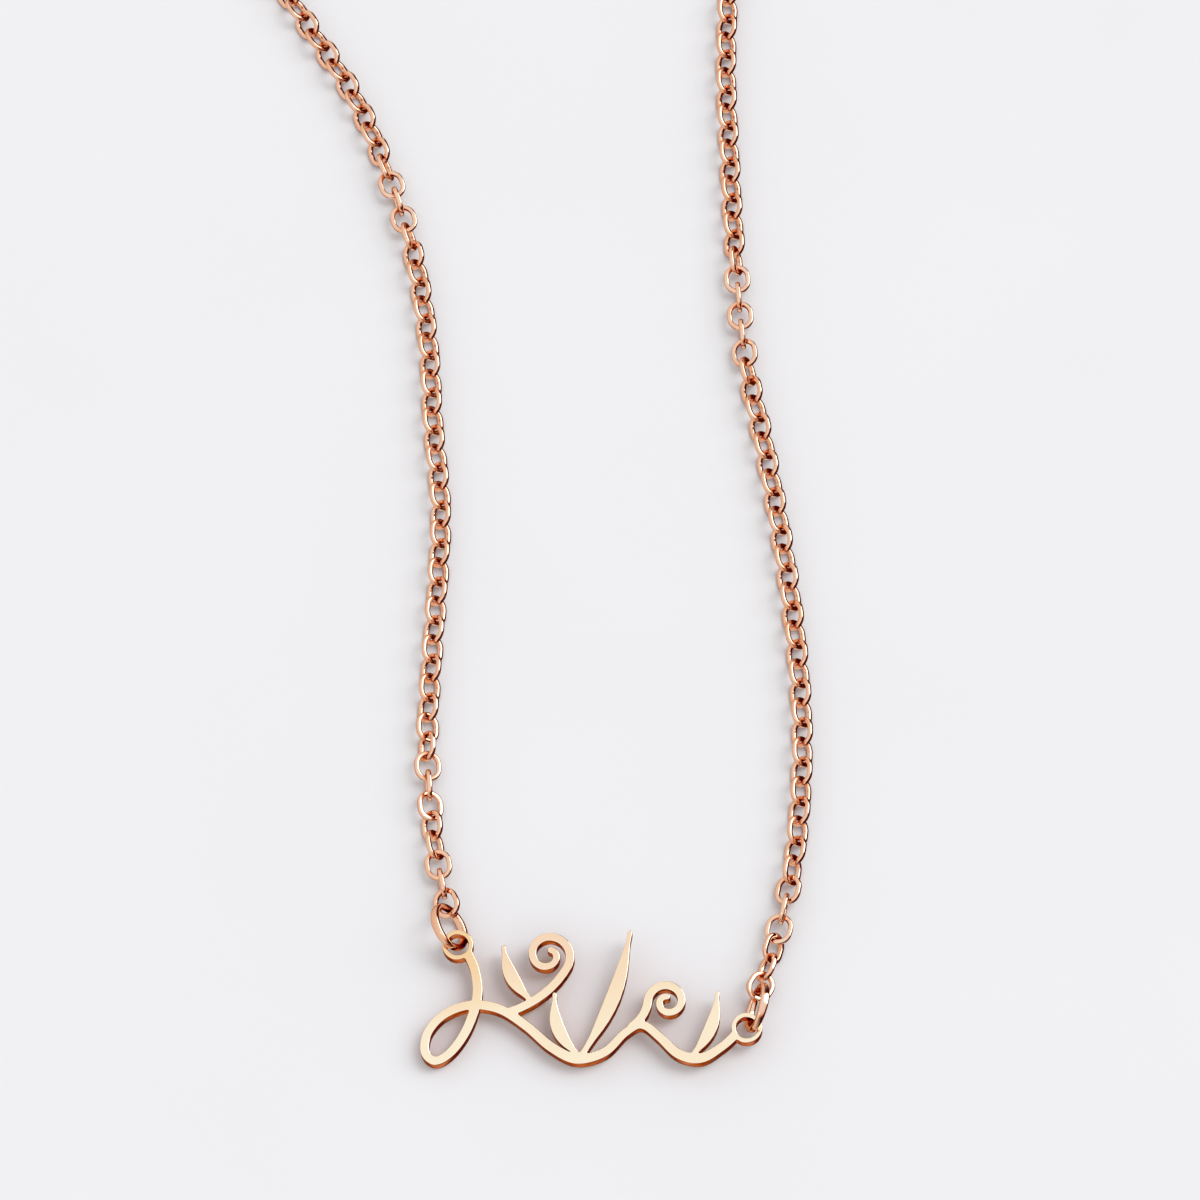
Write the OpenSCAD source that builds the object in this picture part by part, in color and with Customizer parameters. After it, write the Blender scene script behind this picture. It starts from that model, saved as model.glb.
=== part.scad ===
// Nameplate necklace lying on a table: a flat cut plate, two jump rings,
// two strands of cable chain, and a clasp at the back of the loop.
// Millimetres, +Z up, the table at z = 0 and the plate towards -Y.

/* [Nameplate] */
// Width over the outermost strokes
plate_w = 32.4; // [28:0.2:42]
// Height from the lowest stroke to the top of the left eyelet
plate_h = 13.4; // [12:0.2:18]
// Thickness of the sheet that the plate is cut from
plate_t = 1.4; // [0.9:0.05:1.5]
// Width of a plain stroke
stroke_w = 0.9; // [0.7:0.05:1.1]
// Outer diameter of an eyelet
eyelet_d = 2.95; // [2.8:0.05:3.4]
// Diameter of the hole in an eyelet
eyelet_hole_d = 2.05; // [1.95:0.05:2.2]

/* [Jump rings] */
// Outer diameter of the ring at each eyelet
ring_d = 4.8; // [4.6:0.1:6]
// Wire of the ring
ring_wire = 0.5; // [0.4:0.05:0.55]

/* [Chain] */
// Length of one link
link_l = 3.05; // [2.8:0.05:4]
// Width of one link
link_w = 2.54; // [2.4:0.02:3.4]
// Wire of one link
link_wire = 0.4; // [0.3:0.02:0.46]
// Play between two links that pull on each other
link_play = 0.19; // [0.18:0.01:0.3]

/* [Loop] */
// Length of the loop as it lies, from the links at the plate to the clasp
loop_l = 170; // [130:1:190]
// Width of the loop as it lies, beside the clasp
loop_w = 60; // [50:1:66]

/* [Clasp] */
// Length of the clasp
clasp_l = 9; // [8:0.2:12]
// Width of the clasp
clasp_w = 4.6; // [4.4:0.2:6]
// Thickness of the clasp
clasp_t = 1.5; // [1.2:0.1:2]
// Width of the metal round the clasp's opening
clasp_rim = 0.9; // [0.8:0.1:1.1]
// Diameter of the hole in the clasp's tail
clasp_hole_d = 2.1; // [1.9:0.1:2.3]
// Outer diameter of the round ring at each end of the clasp
end_ring_d = 3.8; // [3.6:0.1:5]
// Wire of the round rings
end_ring_wire = 0.5; // [0.4:0.05:0.6]

/* [Hidden] */
$fn = 32;
metal = [0.90, 0.66, 0.52];
plate_metal = [0.95, 0.80, 0.62];

half_turn = 180;
quarter_turn = 90;

// Points on the smooth curve through a list, with steps points to a span
function at(list, i) = list[min(max(i, 0), len(list) - 1)];
function between(a, b, c, d, t) =
    (2 * b + (c - a) * t + (2 * a - 5 * b + 4 * c - d) * pow(t, 2)
    + (3 * b - a - 3 * c + d) * pow(t, 3)) / 2;
function smooth(list, steps) = concat(
    [
        for (i = [0:len(list) - 2], k = [0:steps - 1])
            between(at(list, i - 1), list[i], list[i + 1], at(list, i + 2), k / steps)
    ],
    [list[len(list) - 1]]
);
function heading(v) = atan2(v.y, v.x);
function toward(angle) = [cos(angle), sin(angle)];

// Height of a ring's centre when it lies on the table, rolled about its long axis
function rest_z(width, wire, roll) =
    (width - wire) / 2 * abs(sin(roll)) + wire / 2;
function link_rest(roll) = rest_z(link_w, link_wire, roll);

// The plate's own corner is the lower left of its strokes.
eyelet_rim_r = (eyelet_d + eyelet_hole_d) / 4;
left_eyelet = [0.11 * plate_w, plate_h - eyelet_d / 2];
right_eyelet = [plate_w - eyelet_d / 2, 0.265 * plate_h];

// Where the strokes leave the eyelets, as directions from the eyelets' centres
left_root = -40;
right_root = 212;

// Vine on the plate. STEM: across, up and width, in hundredths of plate_w, plate_h and stroke_w
STEM = [
    [16.2, 69, 100], [16.8, 51, 105], [14.2, 29, 105], [9.8, 12, 100], [5, 4.2, 95], [1.7, 10.5, 95],
    [2.4, 24.5, 95], [7, 37.5, 95], [14.5, 44.5, 100], [23, 42, 100], [31, 29.5, 100],
    [38.5, 13.5, 105], [46, 4.8, 110], [54, 9.5, 100], [60, 23.5, 90], [65, 29.3, 90],
    [70, 20.5, 95], [75.5, 8, 105], [82, 4.6, 110], [88, 12.5, 95]
];
// Turns of the low loop's outermost row, where the stem is cut in two
stem_cut = 6;
// Scrolls: root across and up, middle across and up, radius in hundredths of plate_h,
// direction of the first point from the middle, and degrees turned
SCROLLS = [
    [26, 39, 37.4, 81, 16.5, -28, 450],
    [62, 28, 72.4, 46, 14, 176, -440]
];
scroll_width = [95, 70];
scroll_core = 0.26;
scroll_points = 30;
lead_points = 8;
// Leaves: root across and up, tip across and up, width in hundredths of stroke_w, bend
LEAVES = [
    [32.6, 47.5, 24.4, 87, 150, 0.1],
    [47, 6, 61.5, 97, 160, -0.06],
    [47, 6, 39.4, 52, 145, 0.14],
    [79, 5, 87, 52, 140, -0.1]
];
leaf_steps = 12;
leaf_root = 0.45;
leaf_tip = 0.32;
stroke_steps = 8;
cap_steps = 8;

// How each jump ring stands: heading across its hole, roll, and place against the eyelet
left_heading = 106;
left_roll = 54;
left_reach = 0.408 * ring_d;
left_step = 0.073 * ring_d;
right_heading = 79;
right_roll = -73;
right_reach = 0.427 * ring_d;
right_step = 0.32 * plate_t - 0.214 * ring_d;

// The plate leans back on the two rings, whose low sides pass under its eyelets.
support = [0.05 * plate_w, 0];
eyelet_lift = 0.195 * ring_d;
arm_left = left_eyelet - support;
arm_right = right_eyelet - support;
lever = arm_left.y * arm_right.x - arm_right.y * arm_left.x;
lean_back = asin(eyelet_lift * (arm_right.x - arm_left.x) / lever);
lean_side = asin(eyelet_lift * (arm_left.y - arm_right.y) / lever);

// Strands rise a little to the rings at their ends: links from the end, then height in
// hundredths of link_w
START_RISE = [[-1, 28], [0, 12], [1, 3], [2, 1], [3, 0]];
END_RISE = [[-1, 32], [0, 22], [1, 11], [2, 3], [3, 1], [4, 0]];
function rise_at(links, table) = lookup(links, table) * link_w / 100;

// Where a standing round ring's wire is at a height: forward and sideways from its middle
function ring_at(diameter, wire, roll, z) =
    let (
        r = (diameter - wire) / 2,
        across = (z - rest_z(diameter, wire, roll)) / sin(roll)
    )
    [sqrt(pow(r, 2) - pow(across, 2)), across * cos(roll)];
// How far a link's middle stands from the ring wire that its end holds, with a gap between
hold_gap = 0.17;
function link_arm(wire) = link_l / 2 - link_wire - wire / 2 - hold_gap;
usual_roll = 45;
hold_z = link_rest(usual_roll) + rise_at(0, START_RISE);
function ring_place(from, angle, forward, side) =
    from + forward * toward(angle) + side * toward(angle + quarter_turn);
function ring_start(ring, angle, roll, first_course) =
    let (hold = ring_at(ring_d, ring_wire, roll, hold_z))
    ring_place(ring, angle, hold[0], hold[1]) + link_arm(ring_wire) * toward(first_course);
left_ring = ring_place(left_eyelet, left_heading, left_reach, left_step);
right_ring = ring_place(right_eyelet, right_heading, right_reach, right_step);
left_course = 114;
right_course = 61;
left_start = ring_start(left_ring, left_heading, left_roll, left_course);
right_start = ring_start(right_ring, right_heading, right_roll, right_course);

// Route of the chain: which start a point is counted from, then across in hundredths of
// loop_w and along in hundredths of loop_l
ROUTE = [
    ["left", 0, 0], ["left", -1.2, 2], ["left", -2.6, 5.3], ["left", -3.4, 9.8],
    ["left", -2.9, 14.7], ["left", -2, 20], ["left", -1.7, 24.7], ["left", -3.1, 30],
    ["left", -4.1, 35.3], ["left", -6.7, 41], ["left", -11.4, 46.5], ["left", -17.3, 51.7],
    ["left", -26.3, 57.1], ["left", -36, 63.2], ["middle", -69.7, 72.6], ["middle", -73, 80],
    ["middle", -70.7, 87.1], ["middle", -62, 93.2], ["middle", -48.3, 97.6], ["middle", -33, 100],
    ["middle", -20.8, 100.3], ["middle", -8.7, 100], ["middle", 6.7, 97.9], ["middle", 19.3, 93.6],
    ["middle", 27.3, 87.6], ["middle", 29.8, 80.3], ["right", 1, 74.9], ["right", -2.7, 66.9],
    ["right", -4, 59.4], ["right", -3.6, 52.3], ["right", -2.6, 44.6], ["right", -1.3, 39.1],
    ["right", 1.6, 33.6], ["right", 4.3, 27.6], ["right", 6.2, 21.9], ["right", 7.1, 17],
    ["right", 7, 12.9], ["right", 5.8, 8.2], ["right", 3.1, 3.6], ["right", 0, 0]
];
function start_of(name) =
    name == "left" ? left_start : name == "right" ? right_start : (left_start + right_start) / 2;
route_steps = 8;
path = smooth(
    [for (row = ROUTE) start_of(row[0]) + [row[1] * loop_w, row[2] * loop_l] / 100], route_steps
);

// Running length of the route at each of its points
spans = [for (i = [1:len(path) - 1]) norm(path[i] - path[i - 1])];
runs = [for (i = 0, sum = 0; i < len(path); sum = sum + at(spans, i), i = i + 1) sum];
route_l = runs[len(runs) - 1];
along_x = [for (i = [0:len(path) - 1]) [runs[i], path[i].x]];
along_y = [for (i = [0:len(path) - 1]) [runs[i], path[i].y]];
function place(run) = [lookup(run, along_x), lookup(run, along_y)];
function course(run) = heading(place(run + link_l / 2) - place(run - link_l / 2));

// The clasp sits at the middle of the route, with a round ring on each side of it.
end_roll = 60;
end_ring_z = rest_z(end_ring_d, end_ring_wire, end_roll);
end_ring_r = (end_ring_d - end_ring_wire) / 2;
clasp_half = clasp_l / 2;
tail_x = -clasp_half + clasp_rim + clasp_hole_d / 2;
clasp_ring_run = route_l / 2 + tail_x - end_ring_r;
end_ring_run = route_l / 2 - tail_x + end_ring_r;
end_link_z = link_rest(usual_roll) + rise_at(0, END_RISE);
// The clasp's opening narrows to this share of its width, this share of the way from the middle.
slot_taper = 0.6;
slot_reach = 0.33;
end_hold = ring_at(end_ring_d, end_ring_wire, end_roll, end_link_z)[0] + link_arm(end_ring_wire);
left_run = clasp_ring_run - end_hold;
right_run = route_l - end_ring_run - end_hold;

// Links are spread evenly along each strand, close to their full pitch.
link_pitch = link_l - 2 * link_wire - link_play;
left_count = round(left_run / link_pitch);
right_count = round(right_run / link_pitch);

// Twist of a strand against its quarter turns: links from the first one, then degrees
LEFT_TWIST = [
    [0, 0], [1, 28], [2, 20], [3, -5], [4, -17], [5, -38], [6, -57], [7, -49], [8, -28],
    [10, -17], [34, -17], [36, 28], [38, 28], [40, -17]
];
RIGHT_TWIST = [
    [0, -5], [1, 5], [2, 25], [3, 60], [4, 65], [5, 40], [7, 20], [31, 20], [34, 62], [37, 62],
    [39, 20]
];
left_first_roll = -28;
right_first_roll = 25;
function left_roll_at(i) = left_first_roll + quarter_turn * i + lookup(i, LEFT_TWIST);
function right_roll_at(i) = right_first_roll + quarter_turn * i + lookup(i, RIGHT_TWIST);

// Each round ring beside the clasp leans the other way from the last link of its strand.
function end_ring_roll(link_roll) = sin(2 * link_roll) > 0 ? -end_roll : end_roll;

// A flat link hangs in its upright neighbours, at most this far below their middles.
link_sag = 0.12;
function link_z(before, roll, after) =
    max(link_rest(roll), (link_rest(before) + link_rest(after)) / 2 - link_sag);
function rise(i, count) = rise_at(i, START_RISE) + rise_at(count - i, END_RISE);
function slope(i, count) = atan((rise(i - 1, count) - rise(i + 1, count)) / link_pitch / 2);

// Middle of the whole thing, seen from above
outline_x = [for (p = path) p.x];
outline_y = [for (p = path) p.y];
middle = [
    (min(outline_x) + max(outline_x)) / 2,
    (max(outline_y) + clasp_w / 2) / 2
];

module oval_ring(length, width, wire) {
    bend_r = (width - wire) / 2;
    straight = length - width;
    for (s = [-1, 1]) {
        translate([s * straight / 2, 0, 0])
            rotate([0, 0, -quarter_turn * s])
                rotate_extrude(angle = half_turn) translate([bend_r, 0]) circle(d = wire);
        translate([-straight / 2, s * bend_r, 0])
            rotate([quarter_turn, 0, quarter_turn])
                linear_extrude(straight) circle(d = wire);
    }
}

module round_ring(diameter, wire) {
    rotate_extrude() translate([(diameter - wire) / 2, 0]) circle(d = wire);
}

// A stroke with round ends along a list of points, each with half its width there
module stroke(points) {
    last = len(points) - 1;
    function edge(i, side) =
        let (v = at(points, i + 1) - at(points, i - 1))
        [points[i].x, points[i].y] + points[i].z * toward(heading(v) + side);
    polygon(concat(
        [for (i = [0:last]) edge(i, quarter_turn)],
        [for (k = [1:cap_steps - 1]) edge(last, quarter_turn - k * half_turn / cap_steps)],
        [for (i = [last:-1:0]) edge(i, -quarter_turn)],
        [for (k = [1:cap_steps - 1]) edge(0, -quarter_turn - k * half_turn / cap_steps)]
    ));
}

function on_plate(row) = [row[0] * plate_w, row[1] * plate_h, row[2] * stroke_w / 2] / 100;

// The stem crosses itself where its low loop closes, so it is drawn in two parts.
module stem() {
    left_end = left_eyelet + eyelet_rim_r * toward(left_root);
    right_end = right_eyelet + eyelet_rim_r * toward(right_root);
    points = smooth(concat(
        [[left_end.x, left_end.y, stroke_w / 2]],
        [for (row = STEM) on_plate(row)],
        [[right_end.x, right_end.y, stroke_w / 2]]
    ), stroke_steps);
    turn = stem_cut * stroke_steps;
    stroke([for (i = [0:turn]) points[i]]);
    stroke([for (i = [turn:len(points) - 1]) points[i]]);
}

// A tendril that rises from the stem, meets its spiral smoothly and winds inwards
module scroll(row) {
    root = on_plate([row[0], row[1], scroll_width[0]]);
    eye = on_plate([row[2], row[3], 0]);
    outer_r = row[4] * plate_h / 100;
    function turn(t) =
        let (
            v = outer_r * (1 - t * (1 - scroll_core)) * toward(row[5] + t * row[6]),
            w = scroll_width[0] + t * (scroll_width[1] - scroll_width[0])
        )
        [eye.x + v.x, eye.y + v.y, w * stroke_w / 2 / 100];
    first = turn(0);
    back = row[6] > 0 ? row[5] - quarter_turn : row[5] + quarter_turn;
    lead = first + norm(first - root) / 2 * [cos(back), sin(back), 0];
    stroke(concat(
        [
            for (i = [0:lead_points - 1])
                let (t = i / lead_points)
                pow(1 - t, 2) * root + 2 * t * (1 - t) * lead + t * t * first
        ],
        [for (i = [0:scroll_points]) turn(i / scroll_points)]
    ));
}

// A pointed leaf, widest a little above its middle
module leaf(row) {
    root = on_plate([row[0], row[1], 0]);
    tip = on_plate([row[2], row[3], 0]);
    v = [tip.x - root.x, tip.y - root.y];
    stroke([
        for (i = [0:leaf_steps])
            let (
                t = i / leaf_steps,
                belly = sin(half_turn * t),
                p = [root.x, root.y] + t * v + row[5] * belly * [-v.y, v.x],
                w = max(belly, leaf_root * (1 - t), leaf_tip)
            )
            [p.x, p.y, w * row[4] * stroke_w / 2 / 100]
    ]);
}

module ornament() {
    stem();
    for (row = SCROLLS) {
        scroll(row);
    }
    for (row = LEAVES) {
        leaf(row);
    }
}

module nameplate() {
    color(plate_metal)
        rotate([lean_back, -lean_side, 0])
            difference() {
                union() {
                    linear_extrude(plate_t) ornament();
                    for (e = [left_eyelet, right_eyelet]) {
                        translate(e) cylinder(h = plate_t, d = eyelet_d);
                    }
                }
                for (e = [left_eyelet, right_eyelet]) {
                    translate([e.x, e.y, -plate_t / 2])
                        cylinder(h = 2 * plate_t, d = eyelet_hole_d);
                }
            }
}

module standing_ring(centre, diameter, wire, angle, roll) {
    color(metal)
        translate([centre.x, centre.y, rest_z(diameter, wire, roll)])
            rotate([roll, 0, angle]) round_ring(diameter, wire);
}

module jump_ring_left() {
    standing_ring(left_ring, ring_d, ring_wire, left_heading, left_roll);
}

module jump_ring_right() {
    standing_ring(right_ring, ring_d, ring_wire, right_heading, right_roll);
}

// One link of a strand that is counted from the plate
module link(i, count, centre, angle, rolls) {
    translate([centre.x, centre.y, link_z(rolls[0], rolls[1], rolls[2]) + rise(i, count)])
        rotate([rolls[1], slope(i, count), angle]) oval_ring(link_l, link_w, link_wire);
}

module chain_left() {
    step = left_run / left_count;
    color(metal)
        for (i = [0:left_count]) {
            run = i * step;
            link(i, left_count, place(run), i == 0 ? left_course : course(run),
                [for (k = [i - 1:i + 1]) left_roll_at(k)]);
        }
}

module chain_right() {
    step = right_run / right_count;
    color(metal)
        for (i = [0:right_count]) {
            run = route_l - i * step;
            link(i, right_count, place(run), i == 0 ? right_course : course(run) + half_turn,
                [for (k = [i - 1:i + 1]) right_roll_at(k)]);
        }
}

module on_back() {
    middle_run = route_l / 2;
    centre = place(middle_run);
    translate([centre.x, centre.y, 0]) rotate([0, 0, course(middle_run)]) children();
}

module clasp_ring() {
    run = clasp_ring_run;
    roll = end_ring_roll(left_roll_at(left_count));
    standing_ring(place(run), end_ring_d, end_ring_wire, course(run), roll);
}

// The right strand is counted backwards along the route, so its links' rolls change sign.
module end_ring() {
    run = end_ring_run;
    roll = end_ring_roll(-right_roll_at(right_count));
    standing_ring(place(run), end_ring_d, end_ring_wire, course(run), roll);
}

module clasp() {
    tail_d = clasp_hole_d + 2 * clasp_rim;
    head_x = clasp_half - clasp_w / 2;
    opening_d = clasp_w - 2 * clasp_rim;
    color(metal)
        on_back()
            translate([0, 0, end_ring_z - clasp_t / 2])
                linear_extrude(clasp_t)
                    difference() {
                        hull() {
                            translate([tail_x, 0]) circle(d = tail_d);
                            translate([head_x, 0]) circle(d = clasp_w);
                        }
                        translate([tail_x, 0]) circle(d = clasp_hole_d);
                        hull() {
                            translate([head_x, 0]) circle(d = opening_d);
                            translate([slot_reach * head_x, 0]) circle(d = slot_taper * opening_d);
                        }
                    }
}

module centred() {
    translate([-middle.x, -middle.y, 0]) children();
}

centred() nameplate();
centred() jump_ring_left();
centred() jump_ring_right();
centred() chain_left();
centred() chain_right();
centred() clasp_ring();
centred() clasp();
centred() end_ring();
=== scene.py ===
import math

import bmesh
import bpy
import numpy as np
from mathutils import Matrix, Vector
from mathutils.geometry import delaunay_2d_cdt


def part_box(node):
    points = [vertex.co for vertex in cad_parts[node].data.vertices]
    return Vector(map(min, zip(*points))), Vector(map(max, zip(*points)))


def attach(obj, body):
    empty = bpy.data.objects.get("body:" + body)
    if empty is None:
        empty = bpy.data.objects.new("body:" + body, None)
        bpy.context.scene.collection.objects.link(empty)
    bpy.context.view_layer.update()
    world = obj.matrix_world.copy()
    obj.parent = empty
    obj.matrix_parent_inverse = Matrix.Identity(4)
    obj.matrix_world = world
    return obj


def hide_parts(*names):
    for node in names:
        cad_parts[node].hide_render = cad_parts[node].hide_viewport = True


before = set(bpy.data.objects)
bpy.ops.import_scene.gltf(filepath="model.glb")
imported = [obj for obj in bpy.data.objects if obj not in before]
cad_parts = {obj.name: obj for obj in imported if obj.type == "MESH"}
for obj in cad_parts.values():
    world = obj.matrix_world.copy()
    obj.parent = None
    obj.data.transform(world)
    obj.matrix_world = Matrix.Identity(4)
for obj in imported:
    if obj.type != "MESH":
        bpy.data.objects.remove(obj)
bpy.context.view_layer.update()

MM = 0.001
WHITE = (1, 1, 1)

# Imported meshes: points this close are one place, a point this near a sheet's top is on its upper
# face, and a normal at least this upright belongs to that face.
SAME_PLACE = 1e-6
ON_FACE = 2e-6
UPRIGHT = 0.97

# Wires, seen across: half their width outwards and along the ring's axis, how round their corners
# are, and the points at a corner
LINK_HALF = (0.24 * MM, 0.24 * MM)
LINK_CORNER = 0.16 * MM
LINK_CORNER_POINTS = 4
RING_HALF = (0.29 * MM, 0.32 * MM)
RING_CORNER = 0.2 * MM
END_RING_HALF = (0.27 * MM, 0.27 * MM)
END_RING_CORNER = 0.19 * MM
RING_CORNER_POINTS = 5
# Along a wire: points in a link's bend, steps round a ring, and the gap between a ring's two ends
BEND_POINTS = 22
RING_STEPS = 96
RING_CUT = 0.03 * MM
# A link's wire is this many times as thick at its seam.
SEAM_SWELL = 1.04
# A jump ring is thicker along its axis by this share, between the two places where it is held.
RING_SWELL = 0.3

# Sheets: spacing of an outline's points, rounds of softening, and how far edges are rounded
PLATE_STEP = 0.1 * MM
PLATE_ROUNDS = 6
PLATE_TOP_EDGE = 0.1 * MM
PLATE_LOW_EDGE = 0.05 * MM
CLASP_STEP = 0.16 * MM
CLASP_ROUNDS = 4
CLASP_EDGE = 0.42 * MM
FEWEST_POINTS = 24
# A round of softening moves each point towards its neighbours' middle, and then away from it.
SOFTEN_SHARES = (0.5, -0.52)
# Steps round an edge, and how many of the upper edge's steps look like the wall
EDGE_STEPS = 5
WALL_STEPS = 1
# A sheet's materials are its face, its wall and its edge. These are the places of the last two.
WALL_SLOT = 1
EDGE_SLOT = 2
# A cap's triangles stay inside its outlines, and points this close in millimetres count as one.
INSIDE_ONLY = 1
CAP_CLOSE = 1e-6

# Where the plate's painted reflection changes tint, as shares of its height and of its width
PEACH_SPAN = (0.2, 0.95)
GOLD_SPAN = (0.12, 0.28)

# Hairlines in the metal: how their noise is turned and stretched, and their depth
HAIR_TURN = (0.3, 0.2, 0.7)
HAIR_STRETCH = (9000, 900, 9000)
HAIR_DEPTH = 0.002 * MM
# Noise values between which rubbed metal goes from its smoothest to its roughest
RUBBED_SPAN = (0.3, 0.7)
# Rays that find near surfaces, which set the painted shade in crevices
CREVICE_SHADE_SAMPLES = 8

# The camera stands above the near side of the table and looks at one point on it.
TARGET = Vector((11.98, -43.84, 0)) * MM
STAND = Vector((0, -239.1, 537.1)) * MM
LENS = 180.3
SENSOR = 36

# The wires here are fuller than the solids, so the table's top lies a little under the solids.
TABLE_TOP = -0.06 * MM
TABLE_SIZE = 4

# The light that everything gets, apart from what polished metal sees
PLAIN_LIGHT = (0.72, 0.72, 0.722, 1)
WORLD_STRENGTH = 1.05
# What polished metal sees on the dark side and on the pale side, from straight down to straight up
DIM_SKY = (
    (0.0, (0.2, 0.04, 0.015)), (0.35, (0.07, 0.006, 0.002)), (0.67, (0.05, 0.004, 0.001)),
    (0.73, (0.5, 0.11, 0.03)), (0.77, (0.85, 0.43, 0.23)), (0.82, (0.92, 0.8, 0.7)),
    (0.86, (0.97, 0.97, 0.97)), (1.0, WHITE)
)
LIT_SKY = (
    (0.0, (0.36, 0.24, 0.18)), (0.25, (0.86, 0.68, 0.56)), (0.6, (0.92, 0.74, 0.62)),
    (0.8, (0.97, 0.88, 0.81)), (1.0, WHITE)
)
# The pale side, and how far a direction points to it where it starts and where it is whole
LIT_SIDE = (-0.99, 0.12, 0)
LIT_SPAN = (-0.42, 0.2)
# Bright panels in that sky: direction, half the angle in degrees, and light
PANELS = (
    ((0.7, 0.3, 1), 10, 1.9), ((-0.5, -0.9, 1.1), 8, 1.9), ((0.76, 0.38, 0.52), 28, 3.2),
    ((0.05, -0.42, -0.9), 27, 0.85)
)
PANEL_SOFTNESS = 0.5


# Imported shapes

def node_points(name):
    """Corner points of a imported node, in metres in the shared frame"""
    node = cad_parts[name]
    flat = np.empty(len(node.data.vertices) * 3)
    node.data.vertices.foreach_get("co", flat)
    turn = np.array(node.matrix_world)
    return flat.reshape(-1, 3) @ turn[:3, :3].T + turn[:3, 3]


def merged(name):
    """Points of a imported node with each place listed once, and its triangles"""
    points = node_points(name)
    places, same = np.unique(np.round(points / SAME_PLACE), axis=0, return_inverse=True)
    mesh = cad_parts[name].data
    mesh.calc_loop_triangles()
    tris = np.empty(len(mesh.loop_triangles) * 3, dtype=np.int64)
    mesh.loop_triangles.foreach_get("vertices", tris)
    return places * SAME_PLACE, same.reshape(-1)[tris].reshape(-1, 3)


def loose_solids(name):
    """Points of each solid in a node, one array for each"""
    points, tris = merged(name)
    label = np.arange(len(points))
    while True:
        low = label[tris].min(axis=1)
        lower = label.copy()
        np.minimum.at(lower, tris.ravel(), np.repeat(low, 3))
        if (lower == label).all():
            break
        label = lower
    return [points[label == k] for k in np.unique(label)]


def own_axes(points):
    """A flat loop's own frame, longest axis first, and its size along each axis"""
    mean = points.mean(axis=0)
    _, vectors = np.linalg.eigh(np.cov((points - mean).T))
    long, across = vectors[:, 2], vectors[:, 1]
    out = np.cross(long, across)
    if out[2] < 0:
        across, out = -across, -out
    axes = np.column_stack([long, across, out])
    local = (points - mean) @ axes
    low, high = local.min(axis=0), local.max(axis=0)
    middle = mean + axes @ ((low + high) / 2)
    place = Matrix.Identity(4)
    for i in range(3):
        for k in range(3):
            place[i][k] = axes[i][k]
        place[i][3] = middle[i]
    return place, [float(c) for c in high - low]


def angle_toward(place, way):
    """Angle of a direction round a flat loop, in the loop's own frame"""
    local = place.to_3x3().transposed() @ Vector(way)
    return math.atan2(local.y, local.x)


# Swept wire

def section(half, corner, points):
    """Rounded rectangle, as (outward, upward) pairs, anticlockwise"""
    pairs = []
    for quarter in range(4):
        start = quarter * math.pi / 2
        cx = (half[0] - corner) * (1 if quarter in (0, 3) else -1)
        cy = (half[1] - corner) * (1 if quarter in (0, 1) else -1)
        for k in range(points):
            t = start + math.pi / 2 * k / (points - 1)
            pairs.append((cx + corner * math.cos(t), cy + corner * math.sin(t)))
    return pairs


def oval_path(length, width, wire):
    """Middle line of an oval link: point, outward direction, and girth outwards and upwards; one
    side has its seam"""
    r = (width - wire) / 2
    half = (length - width) / 2
    path = []
    for end in (1, -1):
        for k in range(BEND_POINTS):
            t = -math.pi / 2 + math.pi * k / (BEND_POINTS - 1)
            d = Vector((end * math.cos(t), end * math.sin(t)))
            path.append((Vector((end * half, 0)) + r * d, d, (1, 1)))
        girth = SEAM_SWELL if end > 0 else 1
        path.append((Vector((0, end * r)), Vector((0, end)), (girth, girth)))
    return path


def ring_path(radius, cut_at, held_at, swell):
    """Middle line of a round ring from one side of its cut to the other, thicker away from where
    it is held"""
    gap = RING_CUT / radius
    path = []
    for k in range(RING_STEPS + 1):
        t = cut_at + gap / 2 + (2 * math.pi - gap) * k / RING_STEPS
        d = Vector((math.cos(t), math.sin(t)))
        path.append((radius * d, d, (1, 1 + swell * math.sin(t - held_at) ** 2)))
    return path


def sweep(bm, path, pairs, place, closed=True):
    """Carries a section along a path, and fills both ends of an open one"""
    rows = []
    for point, outward, girth in path:
        row = []
        for across, up in pairs:
            flat = point + outward * across * girth[0]
            row.append(bm.verts.new(place @ Vector((flat.x, flat.y, up * girth[1]))))
        rows.append(row)
    count, wide = len(rows), len(pairs)
    for i in range(count if closed else count - 1):
        a, b = rows[i], rows[(i + 1) % count]
        for k in range(wide):
            j = (k + 1) % wide
            bm.faces.new((a[k], b[k], b[j], a[j])).smooth = True
    if not closed:
        bm.faces.new(list(reversed(rows[0])))
        bm.faces.new(rows[-1])


def as_object(name, bm, materials):
    """Turns the finished faces into an object of the scene"""
    bmesh.ops.recalc_face_normals(bm, faces=bm.faces)
    mesh = bpy.data.meshes.new(name)
    bm.to_mesh(mesh)
    bm.free()
    piece = bpy.data.objects.new(name, mesh)
    bpy.context.scene.collection.objects.link(piece)
    for m in materials:
        mesh.materials.append(m)
    return piece


# Cut sheet

def sheet_frame(name):
    """Points and triangles of a flat sheet, its directions and its two faces' heights"""
    points, tris = merged(name)
    a, b, c = (points[tris[:, k]] for k in range(3))
    normals = np.cross(b - a, c - a)
    upward = normals[normals[:, 2] > UPRIGHT * np.linalg.norm(normals, axis=1)]
    n = upward.sum(axis=0)
    n /= np.linalg.norm(n)
    u = np.array([1.0, 0, 0]) - n[0] * n
    u /= np.linalg.norm(u)
    v = np.cross(n, u)
    heights = points @ n
    return points, tris, u, v, n, heights.min(), heights.max()


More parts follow.
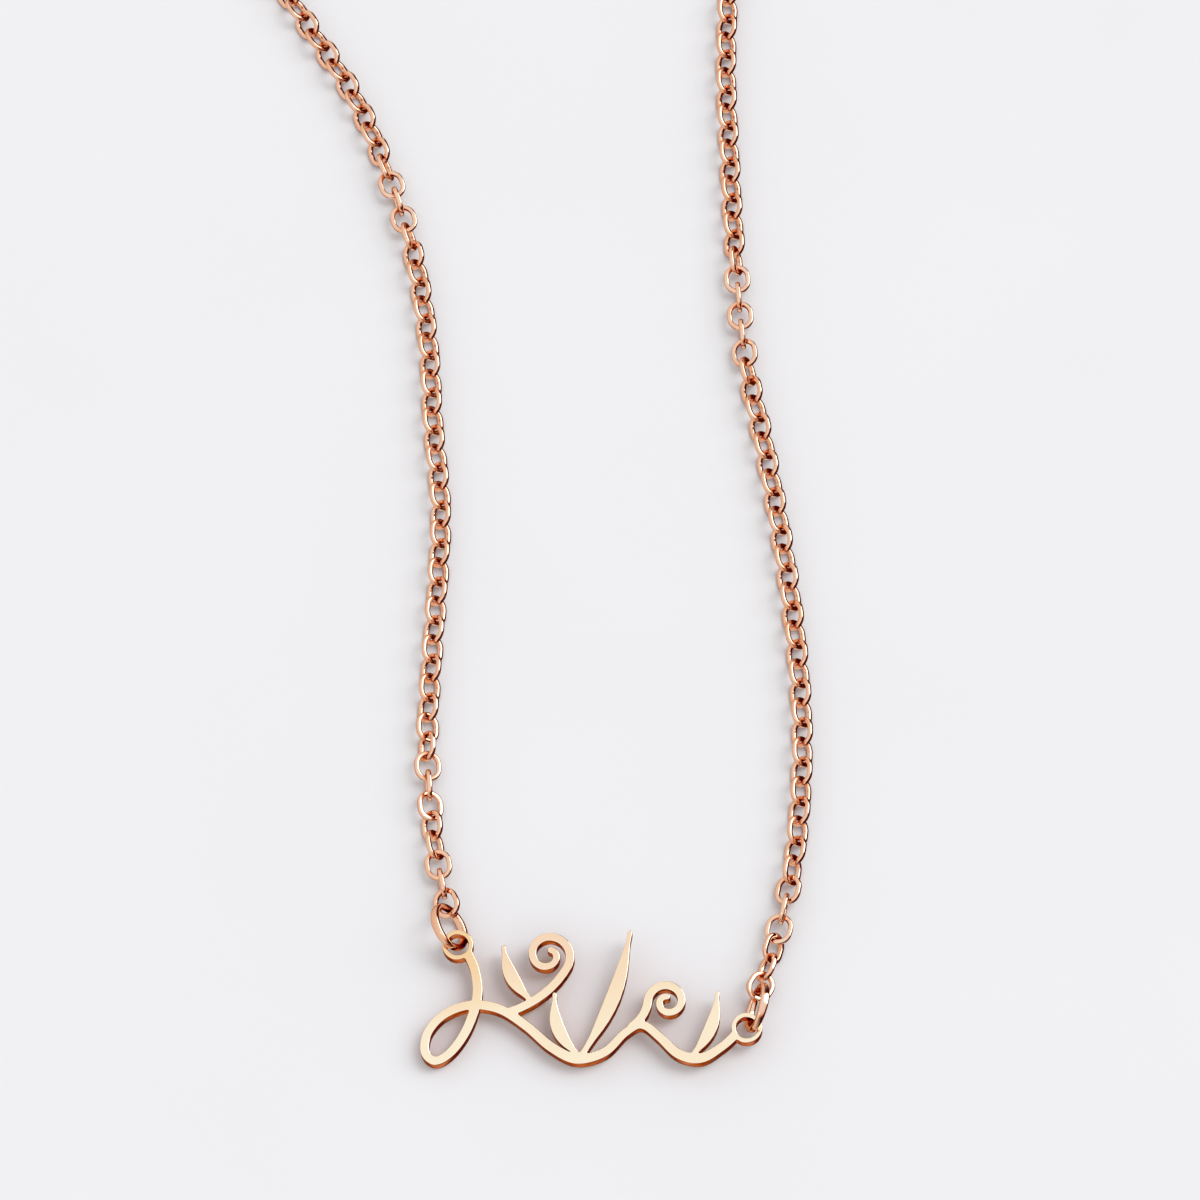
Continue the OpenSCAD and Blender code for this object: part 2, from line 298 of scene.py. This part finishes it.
def outlines(points, tris, u, v, n, top):
    """Closed outlines of a sheet's upper face, in its own two directions"""
    on_top = points @ n > top - ON_FACE
    faces = tris[on_top[tris].all(axis=1)]
    sides = {(int(f[k]), int(f[(k + 1) % 3])) for f in faces for k in range(3)}
    following = {}
    for a, b in sorted(sides):
        if (b, a) not in sides:
            following.setdefault(a, []).append(b)
    loops = []
    while following:
        loop, at = [], next(iter(following))
        while at in following:
            loop.append(at)
            nexts = following[at]
            to = nexts.pop()
            if not nexts:
                del following[at]
            at = to
        loops.append(np.array([[points[i] @ u, points[i] @ v] for i in loop]))
    return loops


def even(loop, step):
    """The same outline with its points evenly spaced"""
    lengths = np.linalg.norm(np.roll(loop, -1, axis=0) - loop, axis=1)
    runs = np.concatenate([[0], np.cumsum(lengths)])
    count = max(FEWEST_POINTS, int(round(runs[-1] / step)))
    at = np.arange(count) * runs[-1] / count
    ring = np.vstack([loop, loop[:1]])
    return np.column_stack([np.interp(at, runs, ring[:, 0]), np.interp(at, runs, ring[:, 1])])


def softened(loop, rounds):
    """Rounds off facets and sharp corners without shrinking the outline"""
    loop = loop.copy()
    for _ in range(rounds):
        for share in SOFTEN_SHARES:
            mean = (np.roll(loop, 1, axis=0) + np.roll(loop, -1, axis=0)) / 2
            loop += share * (mean - loop)
    return loop


def inward(loop):
    """Unit vectors to the left of each point's direction, which is the metal's side"""
    d = np.roll(loop, -1, axis=0) - np.roll(loop, 1, axis=0)
    d /= np.linalg.norm(d, axis=1)[:, None]
    return np.column_stack([-d[:, 1], d[:, 0]])


def inside(point, loops):
    """Whether a point is in the metal, where a line from it crosses the outlines an odd number of
    times"""
    odd = False
    for loop in loops:
        a, b = loop, np.roll(loop, -1, axis=0)
        crossing = (a[:, 1] > point[1]) != (b[:, 1] > point[1])
        with np.errstate(divide="ignore", invalid="ignore"):
            x = a[:, 0] + (point[1] - a[:, 1]) * (b[:, 0] - a[:, 0]) / (b[:, 1] - a[:, 1])
        odd ^= bool((crossing & (point[0] < x)).sum() % 2)
    return odd


def edge_levels(low, top, low_edge, top_edge):
    """Depth in from the outline and height, from the lower face to the upper one"""
    levels = []
    for k in range(EDGE_STEPS + 1):
        t = math.pi / 2 * k / EDGE_STEPS
        levels.append((low_edge * (1 - math.sin(t)), low + low_edge * (1 - math.cos(t))))
    for k in range(EDGE_STEPS + 1):
        t = math.pi / 2 * k / EDGE_STEPS
        levels.append((top_edge * (1 - math.cos(t)), top - top_edge * (1 - math.sin(t))))
    return levels


def cap(bm, flats, rings):
    """Fills the flat face between outlines, where it is metal"""
    verts = [vert for ring in rings for vert in ring]
    coords = [Vector(p) / MM for f in flats for p in f]
    edges, base = [], 0
    for f in flats:
        edges += [(base + k, base + (k + 1) % len(f)) for k in range(len(f))]
        base += len(f)
    _, _, faces, sources, _, _ = delaunay_2d_cdt(coords, edges, [], INSIDE_ONLY, CAP_CLOSE)
    for f in faces:
        ids = [sources[k][0] for k in f if sources[k]]
        mid = sum((np.array(coords[k]) for k in ids), np.zeros(2)) * MM / max(len(ids), 1)
        if len(set(ids)) == 3 and inside(mid, flats):
            bm.faces.new([verts[k] for k in ids]).smooth = True


def cut_sheet(name, piece_name, materials, step, rounds, top_edge, low_edge):
    """The sheet again with smooth outlines and rounded edges: face, wall and edge materials"""
    points, tris, u, v, n, low, top = sheet_frame(name)
    loops = [softened(even(l, step), rounds) for l in outlines(points, tris, u, v, n, top)]
    levels = edge_levels(low, top, low_edge, top_edge)
    bm = bmesh.new()
    all_flats, all_rings = [], []
    for loop in loops:
        side = inward(loop)
        flats = [loop + side * depth for depth, _ in levels]
        rings = []
        for flat, (_, height) in zip(flats, levels):
            rings.append([bm.verts.new(Vector(p[0] * u + p[1] * v + height * n)) for p in flat])
        all_flats.append(flats)
        all_rings.append(rings)
        for i in range(len(levels) - 1):
            a, b = rings[i], rings[i + 1]
            for k in range(len(loop)):
                j = (k + 1) % len(loop)
                face = bm.faces.new((a[k], a[j], b[j], b[k]))
                face.smooth = True
                face.material_index = WALL_SLOT if i <= EDGE_STEPS + WALL_STEPS else EDGE_SLOT
    for i in (0, -1):
        cap(bm, [flats[i] for flats in all_flats], [rings[i] for rings in all_rings])
    return as_object(piece_name, bm, materials)


# Node trees

class Nodes:
    """A short way to build one node tree"""

    def __init__(self, tree):
        self.tree = tree

    def feed(self, socket, value):
        """Links another node's output to a socket, or sets the socket's own value"""
        if isinstance(value, bpy.types.NodeSocket):
            self.tree.links.new(value, socket)
        else:
            socket.default_value = value

    def add(self, kind, settings=None, **inputs):
        """A node; settings are its own, and inputs are values or other nodes' outputs"""
        node = self.tree.nodes.new(kind)
        for key, value in (settings or {}).items():
            setattr(node, key, value)
        for key, value in inputs.items():
            self.feed(node.inputs[key.replace("_", " ")], value)
        return node

    def noise(self, place, scale, detail, roughness):
        """Cloudy values; scale is about how many clouds there are to a metre"""
        return self.add("ShaderNodeTexNoise", Vector=place, Scale=scale, Detail=detail,
                        Roughness=roughness).outputs["Fac"]

    def ramp(self, source, stops):
        """Colours that follow a value, each at its own place from 0 to 1; a new stop starts in the
        middle and then gets its place"""
        node = self.add("ShaderNodeValToRGB", Fac=source)
        while len(node.color_ramp.elements) < len(stops):
            node.color_ramp.elements.new(0.5)
        for element, (at, colour) in zip(node.color_ramp.elements, stops):
            element.position = at
            element.color = (*colour, 1)
        return node.outputs["Color"]

    def span(self, source, low, high, to_low=0, to_high=1, how="SMOOTHSTEP"):
        """A value taken from one range to another, and held at the ends"""
        return self.add("ShaderNodeMapRange", {"interpolation_type": how}, Value=source,
                        From_Min=low, From_Max=high, To_Min=to_low, To_Max=to_high).outputs[0]

    def maths(self, operation, a, b):
        """A sum or product of two values"""
        node = self.add("ShaderNodeMath", {"operation": operation})
        self.feed(node.inputs[0], a)
        self.feed(node.inputs[1], b)
        return node.outputs[0]

    def blend(self, factor, a, b, how="MIX"):
        """Two colours mixed, from the first at factor 0 to the second at 1"""
        node = self.add("ShaderNodeMix", {"data_type": "RGBA", "blend_type": how})
        sockets = {s.identifier: s for s in node.inputs}
        self.feed(sockets["Factor_Float"], factor)
        self.feed(sockets["A_Color"], a)
        self.feed(sockets["B_Color"], b)
        return next(s for s in node.outputs if s.identifier == "Result_Color")

    def relief(self, height, depth, strength, below=None):
        """Bumps of a given depth, laid on other bumps if there are any below"""
        node = self.add("ShaderNodeBump", Height=height, Distance=depth, Strength=strength)
        if below:
            self.tree.links.new(below, node.inputs["Normal"])
        return node.outputs["Normal"]


def new_material(name):
    """A new material, its nodes, and the object's own coordinates"""
    material = bpy.data.materials.new(name)
    material.use_nodes = True
    nodes = Nodes(material.node_tree)
    place = nodes.add("ShaderNodeTexCoord").outputs["Object"]
    return material, nodes, place


# Metals

def finish_metal(material, nodes, place, colour, *, rim, rough, shade_tints, reach, hairs, wave):
    """Painted shade in crevices, rubbed patches, hairlines and waviness, then the shader

    rim is the tint at grazing angles, rough the least and most roughness, shade_tints the painted
    shade from a deep crevice to open metal, reach how near another surface has to be to darken a
    place with painted shade, hairs the strength of the hairlines, and wave the waves' scale and
    height.
    """
    # Painted shade: the colour is darkened where other surfaces are near
    shade = nodes.add("ShaderNodeAmbientOcclusion", {"samples": CREVICE_SHADE_SAMPLES},
                      Distance=reach).outputs["AO"]
    colour = nodes.blend(1.0, colour, nodes.ramp(shade, shade_tints), "MULTIPLY")
    rubbed = nodes.noise(place, scale=800, detail=5, roughness=0.65)
    stretched = nodes.add("ShaderNodeMapping", Vector=place, Rotation=HAIR_TURN,
                          Scale=HAIR_STRETCH).outputs["Vector"]
    lines = nodes.noise(stretched, scale=1, detail=3, roughness=0.7)
    normal = nodes.relief(lines, depth=HAIR_DEPTH, strength=hairs)
    wave_scale, wave_height = wave
    waves = nodes.noise(place, scale=wave_scale, detail=1.5, roughness=0.4)
    normal = nodes.relief(waves, depth=wave_height, strength=1.0, below=normal)
    shader = nodes.tree.nodes["Principled BSDF"]
    nodes.feed(shader.inputs["Base Color"], colour)
    nodes.feed(shader.inputs["Roughness"], nodes.span(rubbed, *RUBBED_SPAN, *rough))
    nodes.feed(shader.inputs["Normal"], normal)
    shader.inputs["Metallic"].default_value = 1.0
    shader.inputs["Specular Tint"].default_value = (*rim, 1)
    return material


def wire_metal(name, deep, base, pale, rough):
    """Rose-gold wire, with tones that drift from deep to pale"""
    material, nodes, place = new_material(name)
    drift = nodes.noise(place, scale=300, detail=4, roughness=0.6)
    colour = nodes.ramp(drift, [(0.3, deep), (0.5, base), (0.7, pale)])
    # Painted shade between links: dark red where deepest, then saturated orange for light bounced
    # between links
    shade_tints = [(0.25, (0.2, 0.015, 0.003)), (0.5, (0.92, 0.34, 0.14)), (0.73, (1, 0.83, 0.7)),
             (0.9, WHITE)]
    return finish_metal(material, nodes, place, colour, rim=(0.9, 0.5, 0.3), rough=rough,
                        shade_tints=shade_tints, reach=0.8 * MM, hairs=0.2, wave=(900, 0.004 * MM))


def face_metal(name, light, base, peach, gold, rough):
    """Pale plating with painted reflection: lighter along the bottom, peach towards the top, golden
    at the first stem
    """
    material, nodes, place = new_material(name)
    low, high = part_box("nameplate")
    wide, tall = high[0] - low[0], high[1] - low[1]
    at = nodes.add("ShaderNodeSeparateXYZ", Vector=place).outputs
    # Painted reflection by place on the face; the cloud noise below is random tone
    up = nodes.span(at["Y"], *(low[1] + share * tall for share in PEACH_SPAN))
    first = nodes.span(at["X"], *(low[0] + share * wide for share in GOLD_SPAN), 1, 0)
    cloud = nodes.noise(place, scale=140, detail=3, roughness=0.5)
    tone = nodes.maths("ADD", nodes.maths("MULTIPLY", up, 0.5), nodes.maths("MULTIPLY", cloud, 0.5))
    colour = nodes.ramp(tone, [(0.2, light), (0.45, base), (0.75, peach)])
    colour = nodes.blend(nodes.maths("MULTIPLY", first, up), colour, (*gold, 1))
    # Painted shade in the face's crevices and where other parts come near
    return finish_metal(material, nodes, place, colour, rim=(1, 0.9, 0.75), rough=rough,
                        shade_tints=[(0.2, (0.5, 0.2, 0.1)), (0.6, WHITE)], reach=0.3 * MM, hairs=0.2,
                        wave=(420, 0.012 * MM))


def wall_metal(name, deep, base, reflected_patch, rough):
    """Cut sides: the metal painted dark red as shade and dark reflection, with patches of painted
    reflection
    """
    material, nodes, place = new_material(name)
    # Painted reflection: patches between dark maroon and copper stand in for the studio's light and
    # dark mirrored in the sides
    reflection_patches = nodes.noise(place, scale=520, detail=3, roughness=0.55)
    colour = nodes.ramp(reflection_patches, [(0.32, deep), (0.46, base), (0.64, reflected_patch)])
    # Painted shade near the table and other parts
    return finish_metal(material, nodes, place, colour, rim=(0.75, 0.42, 0.33), rough=rough,
                        shade_tints=[(0.05, (0.4, 0.16, 0.08)), (0.45, WHITE)], reach=0.6 * MM,
                        hairs=0.5, wave=(700, 0.01 * MM))


chain_metal = wire_metal(
    "chain_rose_gold", deep=(0.79, 0.49, 0.33), base=(0.81, 0.56, 0.42), pale=(0.83, 0.62, 0.49),
    rough=(0.03, 0.09)
)
plate_face = face_metal(
    "plate_face", light=(0.93, 0.81, 0.61), base=(0.91, 0.74, 0.52), peach=(0.89, 0.66, 0.47),
    gold=(0.87, 0.61, 0.33), rough=(0.06, 0.16)
)
# The upper rounded edge: the face's colours made paler, a painted highlight
plate_edge_painted_highlight = face_metal(
    "plate_edge_painted_highlight", light=(0.95, 0.85, 0.70), base=(0.94, 0.82, 0.63), peach=(0.92, 0.74, 0.58),
    gold=(0.90, 0.70, 0.44), rough=(0.12, 0.22)
)
# The sides: the face's metal painted darker and redder as shade and dark reflection
plate_wall_shade_and_reflection = wall_metal(
    "plate_wall_shade_and_reflection", deep=(0.26, 0.035, 0.012), base=(0.48, 0.135, 0.055), reflected_patch=(0.76, 0.31, 0.16),
    rough=(0.1, 0.2)
)


# Pieces

def stands_for(piece, node):
    """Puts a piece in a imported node's place"""
    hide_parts(node)
    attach(piece, "root")


def links_piece(node, name):
    """All links of one strand"""
    bm = bmesh.new()
    pairs = section(LINK_HALF, LINK_CORNER, LINK_CORNER_POINTS)
    for points in loose_solids(node):
        place, size = own_axes(points)
        sweep(bm, oval_path(*size), pairs, place)
    stands_for(as_object(name, bm, [chain_metal]), node)


def ring_piece(node, name, half, corner, swell, cut_toward, held_toward):
    """A round ring of one bent wire, with the cut between its ends on the given side"""
    place, size = own_axes(merged(node)[0])
    across, wire = size[0], size[2]
    path = ring_path((across - wire) / 2, angle_toward(place, cut_toward),
                     angle_toward(place, held_toward), swell)
    bm = bmesh.new()
    sweep(bm, path, section(half, corner, RING_CORNER_POINTS), place, closed=False)
    stands_for(as_object(name, bm, [chain_metal]), node)


links_piece("chain_left", "links_left")
links_piece("chain_right", "links_right")
# The last two directions lead to a ring's cut and, where it swells, to the link that it holds.
for node, half, corner, swell, cut_toward, held_toward in (
    ("jump_ring_left", RING_HALF, RING_CORNER, RING_SWELL, (1, 1, 0), (-0.28, 0.96, 0)),
    ("jump_ring_right", RING_HALF, RING_CORNER, RING_SWELL, (-1, 1, 0), (0.19, 0.98, 0)),
    ("clasp_ring", END_RING_HALF, END_RING_CORNER, 0, (0, -1, 0), (1, 0, 0)),
    ("end_ring", END_RING_HALF, END_RING_CORNER, 0, (0, -1, 0), (1, 0, 0)),
):
    ring_piece(node, node + "_wire", half, corner, swell, cut_toward, held_toward)
plate = cut_sheet("nameplate", "cut_plate", [plate_face, plate_wall_shade_and_reflection, plate_edge_painted_highlight], PLATE_STEP,
                  PLATE_ROUNDS, PLATE_TOP_EDGE, PLATE_LOW_EDGE)
stands_for(plate, "nameplate")
clasp = cut_sheet("clasp", "clasp_body", [chain_metal] * 3, CLASP_STEP, CLASP_ROUNDS, CLASP_EDGE,
                  CLASP_EDGE)
stands_for(clasp, "clasp")


# Table, light and camera

def table_top():
    """A pale matt table that the metal doesn't mirror"""
    half = TABLE_SIZE / 2
    bm = bmesh.new()
    corners = ((-half, -half), (half, -half), (half, half), (-half, half))
    bm.faces.new([bm.verts.new((x, y, TABLE_TOP)) for x, y in corners])
    material, nodes, place = new_material("table")
    shader = nodes.tree.nodes["Principled BSDF"]
    tone = nodes.noise(place, scale=30, detail=2, roughness=0.5)
    pale = nodes.ramp(tone, [(0.3, (0.818, 0.818, 0.835)), (0.7, (0.828, 0.828, 0.845))])
    nodes.feed(shader.inputs["Base Color"], pale)
    shader.inputs["Roughness"].default_value = 0.9
    shader.inputs["Specular IOR Level"].default_value = 0.0
    table = as_object("table", bm, [material])
    table.visible_glossy = False


def toward_way(nodes, way, toward):
    """How far a direction points to one side, from -1 to 1"""
    facing = nodes.add("ShaderNodeVectorMath", {"operation": "DOT_PRODUCT"})
    nodes.feed(facing.inputs[0], way)
    nodes.feed(facing.inputs[1], Vector(toward).normalized())
    return facing.outputs["Value"]


def studio_world():
    """Even light for the table; polished metal sees a bright top and panels, one dark warm side
    and one pale side"""
    world = bpy.data.worlds.new("studio")
    bpy.context.scene.world = world
    world.use_nodes = True
    nodes = Nodes(world.node_tree)
    way = nodes.add("ShaderNodeTexCoord").outputs["Generated"]
    rise = toward_way(nodes, way, (0, 0, 1))
    up = nodes.span(rise, -1, 1, how="LINEAR")
    dim = nodes.ramp(up, DIM_SKY)
    lit = nodes.ramp(up, LIT_SKY)
    sky = nodes.blend(nodes.span(toward_way(nodes, way, LIT_SIDE), *LIT_SPAN), dim, lit)
    for toward, size, light in PANELS:
        edge = math.cos(math.radians(size))
        near = toward_way(nodes, way, toward)
        glow = nodes.span(near, edge, edge + (1 - edge) * PANEL_SOFTNESS)
        sky = nodes.blend(glow, sky, (light, light, light, 1))
    glossy = nodes.add("ShaderNodeLightPath").outputs["Is Glossy Ray"]
    background = world.node_tree.nodes["Background"]
    nodes.feed(background.inputs["Color"], nodes.blend(glossy, PLAIN_LIGHT, sky))
    background.inputs["Strength"].default_value = WORLD_STRENGTH


def sun(name, toward, strength, spread):
    """Parallel light that shapes the table's shadows and leaves no spots in the metal"""
    data = bpy.data.lights.new(name, "SUN")
    data.energy = strength
    data.angle = math.radians(spread)
    lamp = bpy.data.objects.new(name, data)
    lamp.rotation_euler = Vector(toward).to_track_quat("Z", "Y").to_euler()
    lamp.visible_glossy = False
    bpy.context.scene.collection.objects.link(lamp)


def look_at_table():
    """The photograph's view"""
    data = bpy.data.cameras.new("camera")
    data.lens = LENS
    data.sensor_width = SENSOR
    camera = bpy.data.objects.new("camera", data)
    camera.location = TARGET + STAND
    camera.rotation_euler = (-STAND).to_track_quat("-Z", "Y").to_euler()
    bpy.context.scene.collection.objects.link(camera)
    bpy.context.scene.camera = camera


table_top()
studio_world()
sun("key", toward=(0.45, 0.2, 1), strength=0.7, spread=30)
sun("side", toward=(1.2, 0.35, 1), strength=0.56, spread=36)
look_at_table()
bpy.context.scene.view_settings.view_transform = "Standard"
